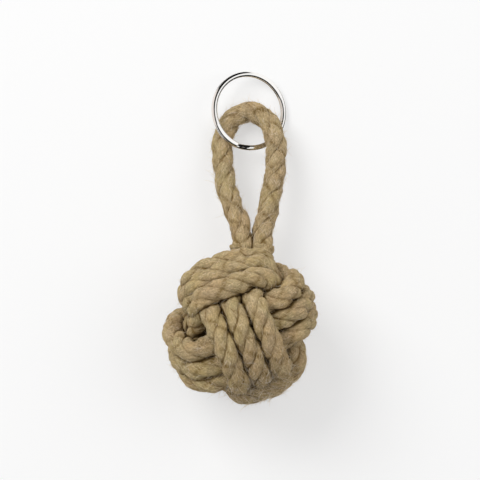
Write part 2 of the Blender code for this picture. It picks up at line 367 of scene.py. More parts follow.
def lane_radius(knot, degrees, offset, dives, bow):
    """Radius of a turn: the outer lane near 0 and 180, the inner one near 90 and 270.

    The smooth step between the two lanes lies at each quarter's own dive angle.
    """
    quarter = np.floor_divide(degrees % 360.0, 90.0).astype(int)
    within = degrees % 90.0
    from_face = np.where(quarter % 2 == 0, within, 90.0 - within)
    dive = np.array(dives)[quarter]
    inside = ease((from_face - dive + dive_width) / (2.0 * dive_width))
    outer = drawn_in(knot.outer_lane, offset, bow)
    inner = drawn_in(knot.inner_lane, np.minimum(offset, inner_bow_reach), inner_bow)
    return (1.0 - inside) * outer + inside * inner


def front_turns_route(knot):
    """Turns in planes across X: out in front, in below, out behind and in on top."""
    degrees = turned(front_span)
    x = knot.pitch * (1.0 - lanes_moved(degrees, front_change))
    radius = lane_radius(knot, degrees, x, front_dives, front_bow)
    angle = np.radians(degrees)
    return np.stack([x, -radius * np.sin(angle), radius * np.cos(angle)], axis=1)


def top_turns_route(knot):
    """Turns in planes across Z, pushed forward by the cube of the angle's cosine.

    On the left the front one goes in deeper, by about half of its height at most.
    """
    degrees = turned(top_span)
    angle = np.radians(degrees)
    push = knot.top_push * np.abs(np.cos(angle)) ** 3
    lane = knot.pitch * (lanes_moved(degrees, top_change) - 1.0)
    deeper = left_dip * bell(degrees % 360.0 - left_dip_at, left_dip_width)
    z = lane - np.maximum(lane, 0.0) * deeper + push
    bow = top_bow - top_bow_swing * np.cos(angle)
    radius = lane_radius(knot, degrees, z, top_dives, bow)
    return np.stack([-radius * np.sin(angle), radius * np.cos(angle), z], axis=1)


def side_turns_route(knot):
    """Turns in planes across Y that rise with X and with Z by the tangents of two leans.

    In front on the left they sag by side_sag, and there and on the right they lie closer by
    their shares of the pitch. On the left only the lowest one does.
    """
    degrees = turned(side_span)
    y = knot.pitch * (lanes_moved(degrees, side_change) - 1.0)
    radius = lane_radius(knot, degrees, y, side_dives, side_bow)
    angle = np.radians(degrees)
    x, z = radius * np.cos(angle), -radius * np.sin(angle)
    sagging = bell(degrees % 360.0 - sag_at, sag_width)
    right = bell((degrees + 180.0) % 360.0 - 180.0, side_width)
    left = bell(degrees % 360.0 - 180.0, side_width)
    rise = math.tan(knot.side_lean) * x + math.tan(knot.side_forward_lean) * z
    rise = rise - (knot.side_sag + y * sag_crowding) * sagging
    rise = rise - y * right_crowding * right - np.minimum(y, 0.0) * left_crowding * left
    return np.stack([x, y + rise, z], axis=1)


def smooth_route(points, samples=1600):
    """Natural cubic curve through points, its steps the square roots of their distances."""
    points = np.asarray(points, dtype=float)
    steps = np.sqrt(np.linalg.norm(np.diff(points, axis=0), axis=1))
    knots = np.concatenate([[0.0], np.cumsum(steps)])
    count = len(points)
    slopes = np.diff(points, axis=0) / steps[:, None]
    matrix = np.eye(count)
    inner = np.arange(1, count - 1)
    matrix[inner, inner - 1] = steps[:-1]
    matrix[inner, inner] = 2.0 * (steps[:-1] + steps[1:])
    matrix[inner, inner + 1] = steps[1:]
    right_side = np.zeros_like(points)
    right_side[1:-1] = 6.0 * np.diff(slopes, axis=0)
    bends = np.linalg.solve(matrix, right_side)
    places = np.linspace(0.0, knots[-1], samples)
    span = np.clip(np.searchsorted(knots, places, side="right") - 1, 0, count - 2)
    width = steps[span][:, None]
    left = (knots[span + 1] - places)[:, None]
    gone = (places - knots[span])[:, None]
    curved = (bends[span] * left ** 3 + bends[span + 1] * gone ** 3) / (6.0 * width)
    from_start = (points[span] / width - bends[span] * width / 6.0) * left
    to_end = (points[span + 1] / width - bends[span + 1] * width / 6.0) * gone
    return curved + from_start + to_end


def route_length(route):
    return float(np.linalg.norm(np.diff(route, axis=0), axis=1).sum())


def spread_evenly(route, spacing):
    """Points at equal distances along a route, about spacing apart."""
    lengths = np.linalg.norm(np.diff(route, axis=0), axis=1)
    along = np.concatenate([[0.0], np.cumsum(lengths)])
    places = np.linspace(0.0, along[-1], max(2, round(along[-1] / spacing) + 1))
    return np.stack([np.interp(places, along, route[:, i]) for i in range(3)], axis=1)


def knot_directions():
    """Columns are the knot's X, Y and Z: tipped about X, then rolled about Z."""
    cr, sr = math.cos(knot_roll), math.sin(knot_roll)
    ct, st = math.cos(knot_tip), math.sin(knot_tip)
    roll = np.array(((cr, -sr, 0.0), (sr, cr, 0.0), (0.0, 0.0, 1.0)))
    tip = np.array(((1.0, 0.0, 0.0), (0.0, ct, -st), (0.0, st, ct)))
    return roll @ tip


def on_table(points):
    """Knot's own directions to the table's."""
    return points @ knot_directions().T + knot_centre


def leg_place(across, ahead, lift=0.0):
    """Place on a leg: the legs drop by the tangent of their slope, and lift adds to that."""
    drop = (ahead - neck_ahead) * math.tan(eye_slope)
    return knot_centre + np.stack([across, ahead, lift - neck_below - drop], axis=-1)


def leg_direction():
    return np.array((0.0, math.cos(eye_slope), -math.sin(eye_slope)))


def leg_root(across):
    """Places where a leg goes into the knot, from the neck inwards, in the knot's directions."""
    neck = leg_place(across, neck_ahead) - knot_centre
    return (neck - leg_root_backs[:, None] * leg_direction()) @ knot_directions()


def front_rope_route(knot):
    """Left leg's way in under the top turns, the front turns, and their end tucked in behind."""
    turns = front_turns_route(knot)
    met, left_at, left_by = 25, -60, -40
    way_in = smooth_route([*leg_root(left_leg_at), left_leg_way, turns[0], turns[met]], 120)
    end = smooth_route([turns[left_at], turns[left_by], *end_tuck], 120)
    return on_table(np.vstack([way_in[:-1], turns[met:left_at], end]))


def side_rope_route(knot):
    """Side turns, then the way out behind the top turns to the right leg."""
    turns = side_turns_route(knot)
    left_at = -25
    outwards = leg_root(right_leg_at)[::-1]
    way_out = smooth_route([turns[left_at], turns[-1], *right_leg_way, *outwards], 160)
    return on_table(np.vstack([turns[:left_at], way_out]))


def top_rope_route(knot):
    return on_table(top_turns_route(knot))


def eye_rope_route():
    """Both legs from inside the knot and the arch between them."""
    middle = leg_place(eye_route[:, 0], eye_route[:, 1], eye_route[:, 2])
    root = eye_root_backs[:, None] * leg_direction()
    return smooth_route(np.vstack([middle[0] - root, middle, middle[-1] - root[::-1]]))


# Meshes

def tube_quads(rings, columns):
    """Quads between the rings of a tube, facing out where its columns run clockwise along it."""
    ring, column = np.meshgrid(np.arange(rings - 1), np.arange(columns), indexing="ij")
    after = (column + 1) % columns
    start = ring * columns
    corners = [start + column, start + after, start + columns + after, start + columns + column]
    return np.stack(corners, axis=-1).reshape(-1, 4)


def end_fans(rings, columns):
    """Triangles from both end rings of a tube to their middle points, numbered after the rings."""
    column = np.arange(columns)
    after = (column + 1) % columns
    middle = np.full(columns, rings * columns)
    last = (rings - 1) * columns
    first_fan = np.stack([after, column, middle], axis=1)
    last_fan = np.stack([last + column, last + after, middle + 1], axis=1)
    return np.vstack([first_fan, last_fan])


def turned_over(faces):
    """The same faces with their other side out."""
    return np.roll(faces[:, ::-1], 1, axis=1)


def mesh_object(name, points, faces, material):
    """New object from an array of points and a list of arrays of faces."""
    mesh = bpy.data.meshes.new(name)
    mesh.vertices.add(len(points))
    mesh.vertices.foreach_set("co", np.ascontiguousarray(points, dtype=np.float32).ravel())
    corners = np.concatenate([group.ravel() for group in faces])
    sizes = np.concatenate([np.full(len(group), group.shape[1]) for group in faces])
    mesh.loops.add(len(corners))
    mesh.loops.foreach_set("vertex_index", corners.astype(np.int32))
    mesh.polygons.add(len(sizes))
    mesh.polygons.foreach_set("loop_start", (np.cumsum(sizes) - sizes).astype(np.int32))
    mesh.update(calc_edges=True)
    mesh.validate()
    mesh.shade_smooth()
    mesh.materials.append(material)
    thing = bpy.data.objects.new(name, mesh)
    bpy.context.scene.collection.objects.link(thing)
    return thing


def store_values(mesh, name, values):
    attribute = mesh.attributes.new(name, "FLOAT", "POINT")
    attribute.data.foreach_set("value", values.astype(np.float32))


# Laid rope

# Thickness of a rope, how far apart its strands stand in radii, its lay, and how deep its
# creases and folds are
Build = namedtuple("Build", "diameter spread lay relief")


def slow_noise(places, wavelength, seed, rows=1):
    """Rows of smooth noise from -1 to 1: four sines of odd wavelengths and phases."""
    draw = np.random.default_rng(seed)
    waves = wavelength * draw.uniform(0.6, 1.7, (rows, 4, 1))
    phases = draw.uniform(0.0, 2.0 * math.pi, (rows, 4, 1))
    return np.sin(2.0 * math.pi * places / waves + phases).mean(axis=1) * 1.4


def surface_noise(along, angle, wavelength, most_round, seed):
    """Smooth noise over a rope from about -1 to 1: sixteen waves with whole numbers round it."""
    draw = np.random.default_rng(seed)
    total = 0.0
    for _ in range(16):
        turns_round = int(draw.integers(-most_round, most_round + 1))
        wave = wavelength * draw.uniform(0.6, 1.7)
        phase = draw.uniform(0.0, 2.0 * math.pi)
        total = total + np.sin(2.0 * math.pi * along[:, None] / wave + turns_round * angle + phase)
    return total / 5.0


def route_frame(route, outward):
    """Tangent, outward normal made square to it, and their cross product, for each point."""
    tangent = np.gradient(route, axis=0)
    tangent /= np.linalg.norm(tangent, axis=1, keepdims=True)
    normal = outward - (outward * tangent).sum(axis=1, keepdims=True) * tangent
    normal /= np.linalg.norm(normal, axis=1, keepdims=True)
    return tangent, normal, np.cross(tangent, normal)


class LaidRope:
    """Surface of a three-strand rope along a route.

    Three circles lie round the route and turn with it, once a lay. A column of the grid
    keeps its place on a strand, and its radius is where the ray at its angle leaves the
    strand's circle: d cos a + sqrt(r^2 - d^2 sin^2 a), with the circle's centre d and its
    radius r. Yarns add a rounded ripple round the strand that runs along the rope.
    """

    columns_per_strand = 24
    columns = 3 * columns_per_strand
    ring_spacing = 0.46 * mm
    crease_width = 0.10
    crease_shade_width = 0.24
    fold_width = 0.27
    yarns_round = 6.0
    yarn_lays = 3.1

    # Lengths of rope over which its uneven features come and go
    wander_wave = 15.0 * mm
    wander_fade = 12.0 * mm
    wobble_wave = 35.0 * mm
    swell_wave = 11.0 * mm
    crease_wave = 6.5 * mm
    lump_wave = 4.5 * mm
    fray_wave = 2.4 * mm
    sway_wave = 13.0 * mm
    fold_wave = 7.0 * mm
    yarn_sway_wave = 6.0 * mm
    yarn_wave = 5.0 * mm

    # How strong they are: turns in radians, and shares of a strand's radius
    wobble = 0.22
    swell = 0.06
    sway = 0.35
    yarn_sway = 1.5

    def __init__(self, rope, route, outward, start_phase, seed, build):
        self.radius = build.diameter / 2.0
        self.lay = build.lay
        self.seed = seed
        even = spread_evenly(route, self.ring_spacing)
        places = np.linspace(0.0, route_length(even), len(even))
        wander = rope.wander * slow_noise(places, self.wander_wave, seed + 9, 3).T
        fade = np.minimum(1.0, places / self.wander_fade)[:, None]
        self.route = even + wander * fade * fade[::-1]
        self.along = np.linspace(0.0, route_length(self.route), len(self.route))
        self.tangent, self.normal, self.across = route_frame(self.route, outward(self.route))
        column_angle = 2.0 * math.pi * (np.arange(self.columns) + 0.5) / self.columns
        self.strand = np.arange(self.columns) // self.columns_per_strand
        self.strand_angle = column_angle - 2.0 * math.pi * (self.strand + 0.5) / 3.0
        wobble = self.wobble * slow_noise(self.along, self.wobble_wave, seed)[0]
        phase = 2.0 * math.pi * self.along / self.lay + start_phase + wobble
        self.angle = column_angle + phase[:, None]
        self.surface(rope, build.spread * self.radius, build.relief)

    def surface(self, rope, centre, relief):
        """Points of the surface, its outward directions, and its groove and yarn values, which mark
        where shade is painted in creases and between yarns.
        """
        circle = (self.radius - centre) * (1.0 + self.swell * self.noise_by_strand(self.swell_wave, 1))
        side = centre * np.sin(self.strand_angle)
        out = centre * np.cos(self.strand_angle) + np.sqrt(circle ** 2 - side ** 2)
        from_crease = math.pi / 3.0 - np.abs(self.strand_angle)
        strength = self.crease_strength()
        crease = strength * bell(from_crease, self.crease_width)
        fold = self.fold()
        ripple = self.yarn_ripple()
        lump = surface_noise(self.along, self.angle, self.lump_wave, 5, self.seed + 8)
        fray = slow_noise(self.along, self.fray_wave, self.seed + 3, self.columns).T
        out = out - relief * (rope.groove_depth * crease + rope.fold_depth * fold)
        out = out + rope.lump_height * lump + rope.yarn_height * (ripple + 0.8 * fray)
        # Painted shade along the creases between strands, and in the folds
        shade = strength * ease(1.0 - from_crease / self.crease_shade_width)
        self.groove = relief * np.maximum(shade, fold)
        self.yarn = np.clip(ripple / 0.4, -1.0, 1.0)
        self.out = (np.cos(self.angle)[..., None] * self.normal[:, None]
                    + np.sin(self.angle)[..., None] * self.across[:, None])
        self.points = self.route[:, None] + out[..., None] * self.out

    def noise_by_strand(self, wavelength, seed):
        """Slow noise along the rope, one row for each strand, given to its columns."""
        return slow_noise(self.along, wavelength, self.seed + seed, 3)[self.strand].T

    def crease_strength(self):
        """Strength of the creases between strands, from a fifth to 1 in patches."""
        patchy = surface_noise(self.along, self.angle, self.crease_wave, 2, self.seed + 7)
        return 0.20 + 0.80 * ease(0.52 + 0.80 * patchy)

    def fold(self):
        """Three lines wound the other way, exp(-(cos(1.5 b) / w)^2), that fade in and out."""
        sway = self.sway * surface_noise(self.along, self.angle, self.sway_wave, 2, self.seed + 4)
        counter = self.angle + 2.0 * math.pi * self.along[:, None] / self.lay + sway
        patchy = surface_noise(self.along, self.angle, self.fold_wave, 3, self.seed + 5)
        return bell(np.cos(1.5 * counter), self.fold_width) * ease(0.68 + 0.60 * patchy)

    def yarn_ripple(self):
        """Rounded yarns, |cos| of a phase that runs round the strand and slowly along it."""
        yarn_turn = 2.0 * math.pi * self.along[:, None] / (self.yarn_lays * self.lay)
        phase = self.yarns_round * self.strand_angle + 4.0 * yarn_turn + 2.1 * self.strand
        phase = phase + self.yarn_sway * self.noise_by_strand(self.yarn_sway_wave, 2)
        strength = 0.5 + 0.5 * self.noise_by_strand(self.yarn_wave, 6)
        return (np.abs(np.cos(phase)) - 0.6) * strength

    def all_points(self):
        return np.vstack([self.points.reshape(-1, 3), self.route[:1], self.route[-1:]])

    def fibre_map(self):
        """Place along the rope and round it, in rope radii, at the corners of each quad.

        Each strand has its own shift, and the last column's quads go on past a whole turn.
        """
        strand_shift = 7.3
        along = np.broadcast_to(self.along[:, None] / self.radius, self.angle.shape)
        place = np.stack([along, self.angle + strand_shift * self.strand], axis=-1)
        low, high = place[:-1], place[1:]
        side = np.array((0.0, 2.0 * math.pi / self.columns))
        return np.stack([low, low + side, high + side, high], axis=-2).reshape(-1, 2)


def nearness(points, along, others, others_along, radius):
    """1 where a point touches another turn and 0 where the gap is over contact_shade_reach, the mask of
    painted shade between turns.

    along is the place of each point on its own rope, and turns within 20 mm of it, which
    are its own stretch, don't count. Places on other ropes are far beyond any of these.
    """
    own_stretch, chunk = 20.0 * mm, 6000
    nearest = np.full(len(points), 1.0)
    square = (others ** 2).sum(axis=1)
    for start in range(0, len(points), chunk):
        part = points[start:start + chunk]
        distance = (part ** 2).sum(axis=1)[:, None] + square - 2.0 * part @ others.T
        own = np.abs(along[start:start + chunk, None] - others_along) < own_stretch
        distance[own] = 1.0
        nearest[start:start + chunk] = np.sqrt(np.maximum(distance.min(axis=1), 0.0))
    return ease(1.0 - (nearest - radius) / contact_shade_reach)


def press_on_table(points):
    """Points below the table are drawn up to it, by half of z + sqrt(z^2 + 0.4 mm squared)."""
    pressed_zone, rounding = 2.0 * mm, 0.4 * mm
    height = points[:, 2]
    pressed = (height + np.sqrt(height ** 2 + rounding ** 2)) / 2.0
    points[:, 2] = np.where(height < pressed_zone, pressed, height)
    return points


def rope_painted_shade(rope, points, neighbours):
    """Painted shade at each point: the greatest of nearness to other turns, depth inside the knot, and
    shade at the worn place.
    """
    far_along = 10.0
    along = np.concatenate([np.repeat(rope.along, rope.columns), rope.along[[0, -1]]])
    others = np.vstack([rope.route[::2], neighbours])
    others_along = np.concatenate([rope.along[::2], np.full(len(neighbours), far_along)])
    near = nearness(points, along, others, others_along, rope.radius)
    depth = ease((deep_inside - np.linalg.norm(points - knot_centre, axis=1)) / deep_fade)
    # Painted shade under the fuzz at the worn place, where the lower ends curve away from the light
    wear_and_shade = worn_place_shade * bell(np.linalg.norm(points - fuzzy_place, axis=1), 1.5 * fuzzy_reach)
    return np.maximum(np.maximum(near, depth), wear_and_shade)


def rope_object(name, rope, neighbours, material):
    """Mesh of a laid rope with its fibre map and its groove, contact shade and yarn values, which mark
    where shade is painted.
    """
    points = press_on_table(rope.all_points())
    rings = len(rope.route)
    quads = tube_quads(rings, rope.columns)
    thing = mesh_object(name, points, [quads, end_fans(rings, rope.columns)], material)
    fibre_map = thing.data.uv_layers.new(name="fibres")
    corners = np.zeros((len(thing.data.loops), 2), dtype=np.float32)
    corners[: quads.size] = rope.fibre_map()
    fibre_map.data.foreach_set("uv", corners.ravel())
    store_values(thing.data, "groove", np.append(rope.groove.ravel(), (1.0, 1.0)))
    store_values(thing.data, "contact_shade", rope_painted_shade(rope, points, neighbours))
    store_values(thing.data, "yarn", np.append(rope.yarn.ravel(), (0.0, 0.0)))
    return thing


# Materials

def new_material(name):
    material = bpy.data.materials.new(name)
    material.use_nodes = True
    return material, material.node_tree, material.node_tree.nodes["Principled BSDF"]


def add_node(tree, kind, **values):
    node = tree.nodes.new(kind)
    for name, value in values.items():
        setattr(node, name, value)
    return node


def new_group(name, outputs):
    """Empty node group with outputs of the given names and kinds, and its output node."""
    group = bpy.data.node_groups.new(name, "ShaderNodeTree")
    for output, kind in outputs:
        group.interface.new_socket(output, in_out="OUTPUT", socket_type="NodeSocket" + kind)
    return group, add_node(group, "NodeGroupOutput")


def use_group(tree, group, sockets, shader):
    """The group's outputs feed the shader's sockets that are listed for them."""
    node = add_node(tree, "ShaderNodeGroup", node_tree=group)
    for output, socket in sockets:
        tree.links.new(node.outputs[output], shader.inputs[socket])


def object_place(tree):
    return add_node(tree, "ShaderNodeTexCoord").outputs["Object"]


def stored_value(tree, name):
    return add_node(tree, "ShaderNodeAttribute", attribute_name=name).outputs["Fac"]


def value_of(tree, output, operation, other):
    """One arithmetic step on an output, with a number or a second output."""
    node = add_node(tree, "ShaderNodeMath", operation=operation)
    tree.links.new(output, node.inputs[0])
    if isinstance(other, (int, float)):
        node.inputs[1].default_value = other
    else:
        tree.links.new(other, node.inputs[1])
    return node.outputs[0]


def times(tree, output, other):
    return value_of(tree, output, "MULTIPLY", other)


def plus(tree, output, other):
    return value_of(tree, output, "ADD", other)


def noise(tree, coordinates, scale, detail, stretch=(1.0, 1.0, 1.0), turn=0.0):
    """Noise drawn out by the three factors of stretch, after a turn about the map's own axis."""
    if turn:
        first = add_node(tree, "ShaderNodeMapping")
        first.inputs["Rotation"].default_value = (0.0, 0.0, turn)
        tree.links.new(coordinates, first.inputs["Vector"])
        coordinates = first.outputs["Vector"]
    mapping = add_node(tree, "ShaderNodeMapping")
    mapping.inputs["Scale"].default_value = stretch
    texture = add_node(tree, "ShaderNodeTexNoise")
    texture.inputs["Scale"].default_value = scale
    texture.inputs["Detail"].default_value = detail
    texture.inputs["Roughness"].default_value = 0.6
    tree.links.new(coordinates, mapping.inputs["Vector"])
    tree.links.new(mapping.outputs["Vector"], texture.inputs["Vector"])
    return texture.outputs["Fac"]


def ramp(tree, factor, stops):
    """Colour ramp through (place, colour) stops."""
    node = add_node(tree, "ShaderNodeValToRGB")
    elements = node.color_ramp.elements
    elements[0].position, elements[0].color = stops[0][0], (*stops[0][1], 1.0)
    elements[1].position, elements[1].color = stops[-1][0], (*stops[-1][1], 1.0)
    for place, colour in stops[1:-1]:
        elements.new(place).color = (*colour, 1.0)
    tree.links.new(factor, node.inputs["Fac"])
    return node.outputs["Color"]


def grey_ramp(tree, factor, dark, bright):
    """Black at one place of the factor and white at the other, on either side of it."""
    stops = [(dark, (0.0,) * 3), (bright, (1.0,) * 3)]
    return ramp(tree, factor, sorted(stops))


def mix_colours(tree, factor, first, second, blend="MIX"):
    """Blend of two colours, each of them an output or three numbers, by an output or a number."""
    node = add_node(tree, "ShaderNodeMix", data_type="RGBA", blend_type=blend)
    if isinstance(factor, float):
        node.inputs["Factor"].default_value = factor
    else:
        tree.links.new(factor, node.inputs["Factor"])
    for socket, colour in ((node.inputs["A"], first), (node.inputs["B"], second)):
        if isinstance(colour, bpy.types.NodeSocket):
            tree.links.new(colour, socket)
        else:
            socket.default_value = (*colour, 1.0)
    return node.outputs["Result"]


def bumped(tree, height, strength, distance):
    """Normal of a bump of the given strength and height."""
    bump = add_node(tree, "ShaderNodeBump")
    bump.inputs["Strength"].default_value = strength
    bump.inputs["Distance"].default_value = distance
    tree.links.new(height, bump.inputs["Height"])
    return bump.outputs["Normal"]


# Threads of the jute: name, scale, detail, stretch along and round the rope, turn in degrees
jute_threads = (
    ("streaks", 1.0, 4.0, (0.6, 7.0, 1.0), 0.0),
    ("brown", 1.3, 4.0, (0.9, 5.5, 1.0), 0.0),
    ("fine", 1.0, 3.0, (1.8, 26.0, 1.0), 0.0),
    ("left", 1.0, 3.0, (1.5, 16.0, 1.0), 32.0),
    ("right", 1.0, 3.0, (1.5, 16.0, 1.0), -30.0),
)

# Darker threads: name, where on their noise they are darkest and end, share of the main colour
dark_threads = (
    ("fine", 0.34, 0.54, 0.62),
    ("left", 0.34, 0.47, 0.55),
    ("right", 0.33, 0.46, 0.55),
    ("flecks", 0.38, 0.56, 0.62),
)

# How far the threads stand up, as shares of the fine ones' height
thread_heights = (("streaks", 0.5), ("left", 0.7), ("right", 0.7), ("flecks", 0.8))

# Tints of whole stretches of rope, by their place on the noise, and of golden patches
rope_tints = ((0.34, (1.0, 0.955, 0.98)), (0.50, (1.0, 1.0, 1.0)), (0.66, (0.955, 0.99, 0.93)))
golden_tint = (1.0, 0.91, 0.68)
golden_share = 0.35

# How far jute goes over to its brown and crease shade colour: painted shade between yarns and in
# grooves, its own brown in brown stretches, and painted shade at touches, which goes on from there to
# its deep shade colour
yarn_shade = 0.16
groove_shade = 0.85
brown_shade = 0.75
touch_shade = 0.74


def jute_noises(group):
    """Threads on the fibre map, and flecks on the object itself."""
    fibre_map = add_node(group, "ShaderNodeUVMap", uv_map="fibres").outputs["UV"]
    noises = {name: noise(group, fibre_map, scale, detail, stretch, math.radians(turn))
              for name, scale, detail, stretch, turn in jute_threads}
    noises["flecks"] = noise(group, object_place(group), 1500.0, 3.0)
    return noises


def clean_jute(group, noises, rope):
    """Colour of jute away from creases: streaks, dark threads, golden patches and tints."""
    place = object_place(group)
    colour = mix_colours(group, grey_ramp(group, noises["streaks"], 0.36, 0.66),
                         rope.main_colour, rope.light_colour)
    for name, dark_at, end_at, share in dark_threads:
        darker = [share * c for c in rope.main_colour]
        colour = mix_colours(group, grey_ramp(group, noises[name], dark_at, end_at), darker, colour)
    patches = noise(group, place, 170.0, 2.0)
    warm = times(group, grey_ramp(group, patches, 0.42, 0.72), golden_share)
    golden = [c * t for c, t in zip(rope.main_colour, golden_tint)]
    colour = mix_colours(group, warm, colour, golden)
    tint = ramp(group, noise(group, place, 80.0, 2.0), rope_tints)
    return mix_colours(group, 1.0, colour, tint, "MULTIPLY")


def shaded_jute(group, noises, colour, rope):
    """Painted shade between yarns and in grooves, the jute's own brown in brown stretches, and the
    darkest painted shade at touches.
    """
    contact_shade = stored_value(group, "contact_shade")
    between = plus(group, times(group, stored_value(group, "yarn"), -yarn_shade), 0.02)
    brown = times(group, grey_ramp(group, noises["brown"], 0.44, 0.30), brown_shade)
    shallow = plus(group, times(group, stored_value(group, "groove"), groove_shade), between)
    shallow = plus(group, plus(group, shallow, brown), contact_shade)
    shallow.node.use_clamp = True
    colour = mix_colours(group, shallow, colour, rope.brown_and_crease_shade_colour)
    deep = times(group, value_of(group, contact_shade, "POWER", 1.5), touch_shade)
    return mix_colours(group, deep, colour, rope.deep_shade_colour)


def jute_group(rope):
    """Jute fibres: their colour with painted shade in creases and where turns touch, their roughness,
    and a bump from all of the threads.
    """
    group, result = new_group(
        "Jute fibres", (("Colour", "Color"), ("Roughness", "Float"), ("Normal", "Vector")))
    noises = jute_noises(group)
    colour = shaded_jute(group, noises, clean_jute(group, noises, rope), rope)
    height = noises["fine"]
    for name, share in thread_heights:
        height = plus(group, height, times(group, noises[name], share))
    roughness = plus(group, times(group, noises["fine"], 0.25), 0.72)
    group.links.new(colour, result.inputs["Colour"])
    group.links.new(roughness, result.inputs["Roughness"])
    group.links.new(bumped(group, height, 0.85, 0.40 * mm), result.inputs["Normal"])
    return group


def jute_material(rope):
    material, tree, shader = new_material("Jute rope")
    use_group(tree, jute_group(rope), (("Colour", "Base Color"), ("Roughness", "Roughness"),
                                       ("Normal", "Normal")), shader)
    shader.inputs["Specular IOR Level"].default_value = 0.1
    shader.inputs["Sheen Weight"].default_value = 0.04
    shader.inputs["Sheen Roughness"].default_value = 0.6
    shader.inputs["Sheen Tint"].default_value = (*rope.light_colour, 1.0)
    return material


def fibre_material(rope):
    """Loose fibres from dark to pale, by the shade that each of them carries."""
    material, tree, shader = new_material("Loose jute fibres")
    bleached = [0.5 + 0.5 * c for c in rope.light_colour]
    colour = ramp(tree, stored_value(tree, "shade"), (
        (0.0, rope.brown_and_crease_shade_colour), (0.25, rope.main_colour), (0.70, rope.light_colour),
        (0.95, bleached)))
    tree.links.new(colour, shader.inputs["Base Color"])
    shader.inputs["Roughness"].default_value = 0.7
    shader.inputs["Specular IOR Level"].default_value = 0.3
    return material


def core_material():
    """Plain turned wood with long grain."""
    material, tree, shader = new_material("Core wood")
    grain = noise(tree, object_place(tree), 700.0, 3.0, (1.0, 0.15, 1.0))
    colour = ramp(tree, grain, ((0.3, (0.10, 0.06, 0.03)), (0.7, (0.20, 0.13, 0.07))))
    tree.links.new(colour, shader.inputs["Base Color"])
    shader.inputs["Roughness"].default_value = 0.8
    return material


def wear_group():
    """Fine wear on polished metal: a little more roughness and a faint unevenness."""
    group, result = new_group("Fine wear", (("Roughness", "Float"), ("Normal", "Vector")))
    place = object_place(group)
    roughness = plus(group, times(group, noise(group, place, 420.0, 4.0), 0.06), 0.015)
    waves = noise(group, place, 150.0, 1.0)
    group.links.new(roughness, result.inputs["Roughness"])
    group.links.new(bumped(group, waves, 0.25, 0.06 * mm), result.inputs["Normal"])
    return group


def nickel_material(ring):
    material, tree, shader = new_material("Polished nickel")
    use_group(tree, wear_group(), (("Roughness", "Roughness"), ("Normal", "Normal")), shader)
    shader.inputs["Base Color"].default_value = (*ring.colour, 1.0)
    shader.inputs["Metallic"].default_value = 1.0
    return material


def floor_material():
    """Pale floor, half of it plain white where it is seen straight or in polished metal."""
    material, tree, shader = new_material("Pale floor")
    shader.inputs["Base Color"].default_value = (0.94, 0.94, 0.94, 1.0)
    shader.inputs["Roughness"].default_value = 0.9
    shader.inputs["Specular IOR Level"].default_value = 0.0
    path = add_node(tree, "ShaderNodeLightPath")
    seen = plus(tree, path.outputs["Is Camera Ray"], path.outputs["Is Glossy Ray"])
    white = add_node(tree, "ShaderNodeEmission")
    mixed = add_node(tree, "ShaderNodeMixShader")
    tree.links.new(times(tree, seen, 0.5), mixed.inputs[0])
    tree.links.new(shader.outputs["BSDF"], mixed.inputs[1])
    tree.links.new(white.outputs["Emission"], mixed.inputs[2])
    tree.links.new(mixed.outputs["Shader"], tree.nodes["Material Output"].inputs["Surface"])
    return material


# Loose fibres

# How the length of fibres spreads, how they crowd where the rope is worn, and how they rise
# and thin out over their four points
length_spread = 0.35
worn_crowding = 16.0
bare_rings = 20
worn_shades = (-0.60, 0.35)
worn_shade_odds = (0.4, 0.6)
lying_heading = math.radians(24.0)
lying_lift = np.array((-0.3, 1.0, 1.0, 0.2))
loose_length = 0.8
loose_sink = 0.02 * mm
fibre_taper = np.array((1.0, 0.9, 0.7, 0.25))
fibre_steps = np.linspace(0.0, 1.0, 4)
table_clearance = 0.05 * mm


def fibre_starts(rope, count, draw):
    """Places of a grid where fibres start, more of them near the place that is worn fuzzy."""
    wear_and_shade = bell(np.linalg.norm(rope.route - fuzzy_place, axis=1), fuzzy_reach)
    weight = 1.0 + worn_crowding * wear_and_shade
    weight[:bare_rings] = 0.0
    weight[-bare_rings:] = 0.0
    ring = draw.choice(len(rope.route), count, p=weight / weight.sum())
    return ring, draw.integers(0, rope.columns, count), wear_and_shade[ring]


def worn_shade(shade, wear_and_shade, draw):
    """Shades of fibres, where a worn place turns some nearly white and the others dark."""
    away = draw.choice(worn_shades, len(shade), p=worn_shade_odds)
    return np.clip(shade + wear_and_shade * away, 0.0, 1.0)


def lying_fibres(rope, count, fibres, draw):
    """Four points along each fibre that lies on the rope, halfway between surface and chord.

    A fibre crosses the grid in a straight line, mostly along the rope, and rises to its
    lift in the middle while its ends are tucked in.
    """
    ring, column, wear_and_shade = fibre_starts(rope, count, draw)
    length = fibres.length * draw.lognormal(0.0, length_spread, count)
    heading = draw.normal(0.0, lying_heading, count)
    rings_on = (length * np.cos(heading) / rope.ring_spacing)[:, None] * fibre_steps
    column_width = 2.0 * math.pi * rope.radius / rope.columns
    columns_on = (length * np.sin(heading) / column_width)[:, None] * fibre_steps
    ring = np.clip(ring[:, None] + np.rint(rings_on), 0, len(rope.route) - 1).astype(int)
    column = (column[:, None] + np.rint(columns_on)).astype(int) % rope.columns
    surface = rope.points[ring, column]
    chord = surface[:, :1] + (surface[:, -1:] - surface[:, :1]) * fibre_steps[:, None]
    lift = fibres.lift * draw.gamma(2.0, 0.5, (count, 1)) * lying_lift
    lines = (surface + chord) / 2.0 + lift[..., None] * rope.out[ring, column]
    return lines, worn_shade(draw.uniform(0.0, 0.9, count), wear_and_shade, draw)


